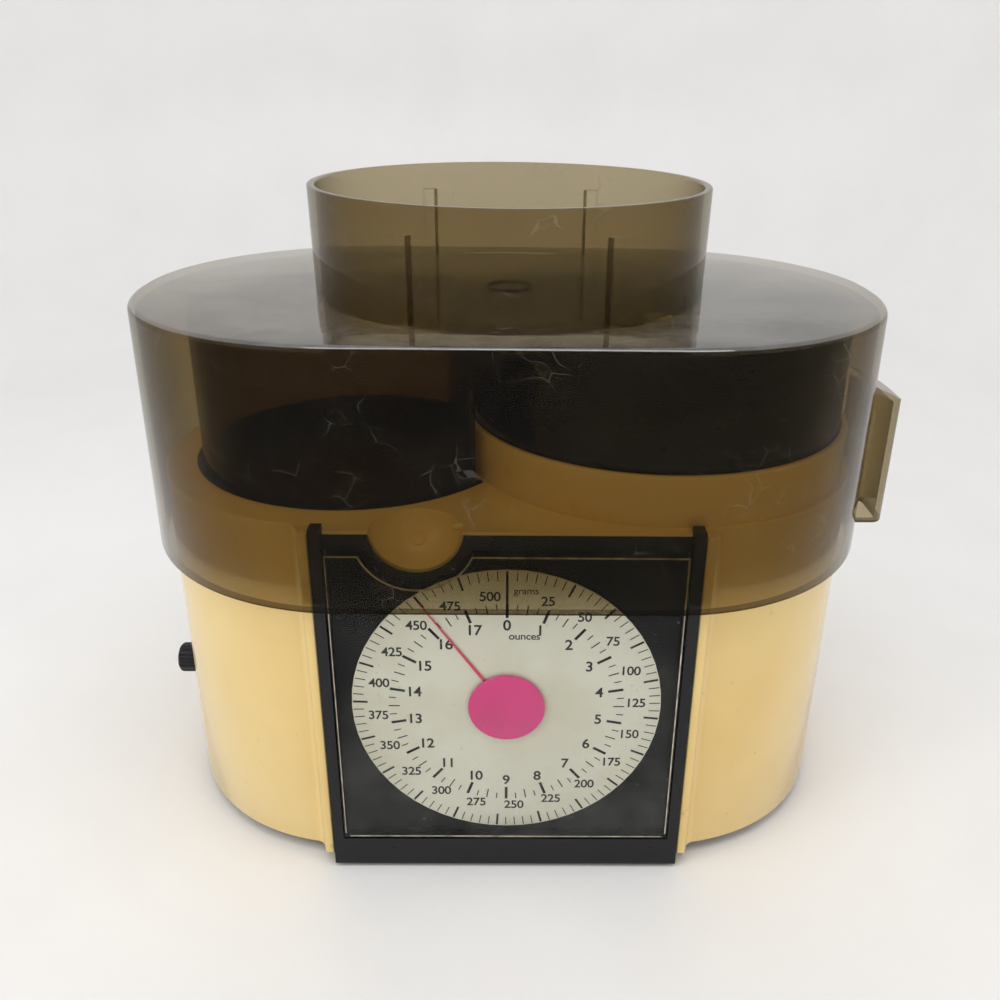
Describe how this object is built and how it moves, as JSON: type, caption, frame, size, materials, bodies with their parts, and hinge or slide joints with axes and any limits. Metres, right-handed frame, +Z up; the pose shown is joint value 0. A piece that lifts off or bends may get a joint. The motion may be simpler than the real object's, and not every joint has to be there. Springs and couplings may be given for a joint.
{
  "type": "food processor with kitchen scale",
  "caption": "Oblong kitchen base with a dial scale in its front, a smoked weighing bowl, a black processing drum over a geared drive, and a smoked lift-off cover with a collar and a pull",
  "frame": {"origin": "centre of the overall box in X and Y, on the surface that the feet stand on", "axes": "+Z up, the dial faces -Y, the drum is at +X and the weighing bowl at -X"},
  "size_m": [0.2718, 0.1588, 0.2245],
  "materials": {
    "cream_plastic": "glossy moulded plastic, cream yellow",
    "black_plastic": "glossy black moulded plastic",
    "smoked_plastic": "transparent smoked brown plastic, scuffed",
    "clear_plastic": "clear plastic with a slight haze",
    "dial_card": "off-white printed disc",
    "needle_red": "thin red painted pointer",
    "hub_pink": "plain pink disc",
    "steel": "bright steel",
    "brass": "machined brass",
    "rubber": "black rubber",
    "white_plastic": "natural white plastic",
    "zinc_plate": "zinc plated sheet steel",
    "button_red": "red plastic"
  },
  "bodies": {
    "base": {"base_housing": "cream_plastic", "base_plate": "black_plastic", "foot_front_left": "rubber", "foot_front_right": "rubber", "foot_rear_left": "rubber", "foot_rear_right": "rubber", "base_screw_1": "steel", "base_screw_2": "steel", "base_screw_3": "steel", "base_screw_4": "steel", "cord_gland": "rubber", "front_bezel": "black_plastic", "dial_window": "clear_plastic", "dial_panel": "black_plastic", "dial_face": "dial_card", "spring_seat": "white_plastic", "scale_spring": "steel", "interlock_switch": "black_plastic", "motor_can": "zinc_plate", "motor_bracket": "zinc_plate"},
    "platform": {"platform_plate": "cream_plastic", "platform_ring": "black_plastic", "platform_stem": "steel", "carriage_arm": "steel", "rack": "brass", "weigh_bowl": "smoked_plastic"},
    "pointer": {"needle": "needle_red", "needle_hub": "hub_pink", "needle_shaft": "steel", "needle_pinion": "brass"},
    "zero_adjuster": {"zero_knob": "black_plastic", "zero_shaft": "steel"},
    "spindle": {"drive_wheel": "white_plastic", "drive_spindle": "steel", "disc_hub": "white_plastic", "slicing_disc": "black_plastic", "slicing_blade": "steel"},
    "rotor": {"motor_shaft": "steel", "motor_pinion": "brass"},
    "drum": {"drum": "black_plastic"},
    "interlock": {"interlock_button": "button_red"},
    "cover": {"cover": "smoked_plastic"}
  },
  "joints": [
    {"name": "cover_lift", "type": "slide", "parent": "base", "child": "cover", "axis": [0, 0, 1], "range_m": [0, 0.12]},
    {"name": "platform_weigh", "type": "slide", "parent": "base", "child": "platform", "axis": [0, 0, -1], "range_m": [0, 0.01], "stiffness_N_per_m": 500, "springref_m": -0.006, "deforming": ["scale_spring"]},
    {"name": "needle_turn", "type": "hinge", "parent": "base", "child": "pointer", "pos_m": [-0.0034, -0.0625, 0.0659], "axis": [0, 1, 0], "range_deg": [0, 360]},
    {"name": "zero_turn", "type": "hinge", "parent": "base", "child": "zero_adjuster", "pos_m": [-0.1262, 0, 0.038], "axis": [1, 0, 0], "range_deg": [-150, 150]},
    {"name": "spindle_turn", "type": "hinge", "parent": "base", "child": "spindle", "pos_m": [0.0486, 0, 0.0945], "axis": [0, 0, 1], "continuous": true},
    {"name": "motor_turn", "type": "hinge", "parent": "base", "child": "rotor", "pos_m": [0.0786, 0, 0.0945], "axis": [0, 0, 1], "continuous": true},
    {"name": "drum_twist", "type": "hinge", "parent": "base", "child": "drum", "pos_m": [0.0486, 0, 0.1312], "axis": [0, 0, 1], "range_deg": [0, 20]},
    {"name": "interlock_press", "type": "slide", "parent": "base", "child": "interlock", "axis": [0, 0, -1], "range_m": [0, 0.002], "stiffness_N_per_m": 300, "springref_m": -0.001}
  ],
  "couplings": [
    {"joint": "needle_turn", "follows": "platform_weigh", "rad_per_m": 628.32},
    {"joint": "motor_turn", "follows": "spindle_turn", "ratio": -4}
  ]
}
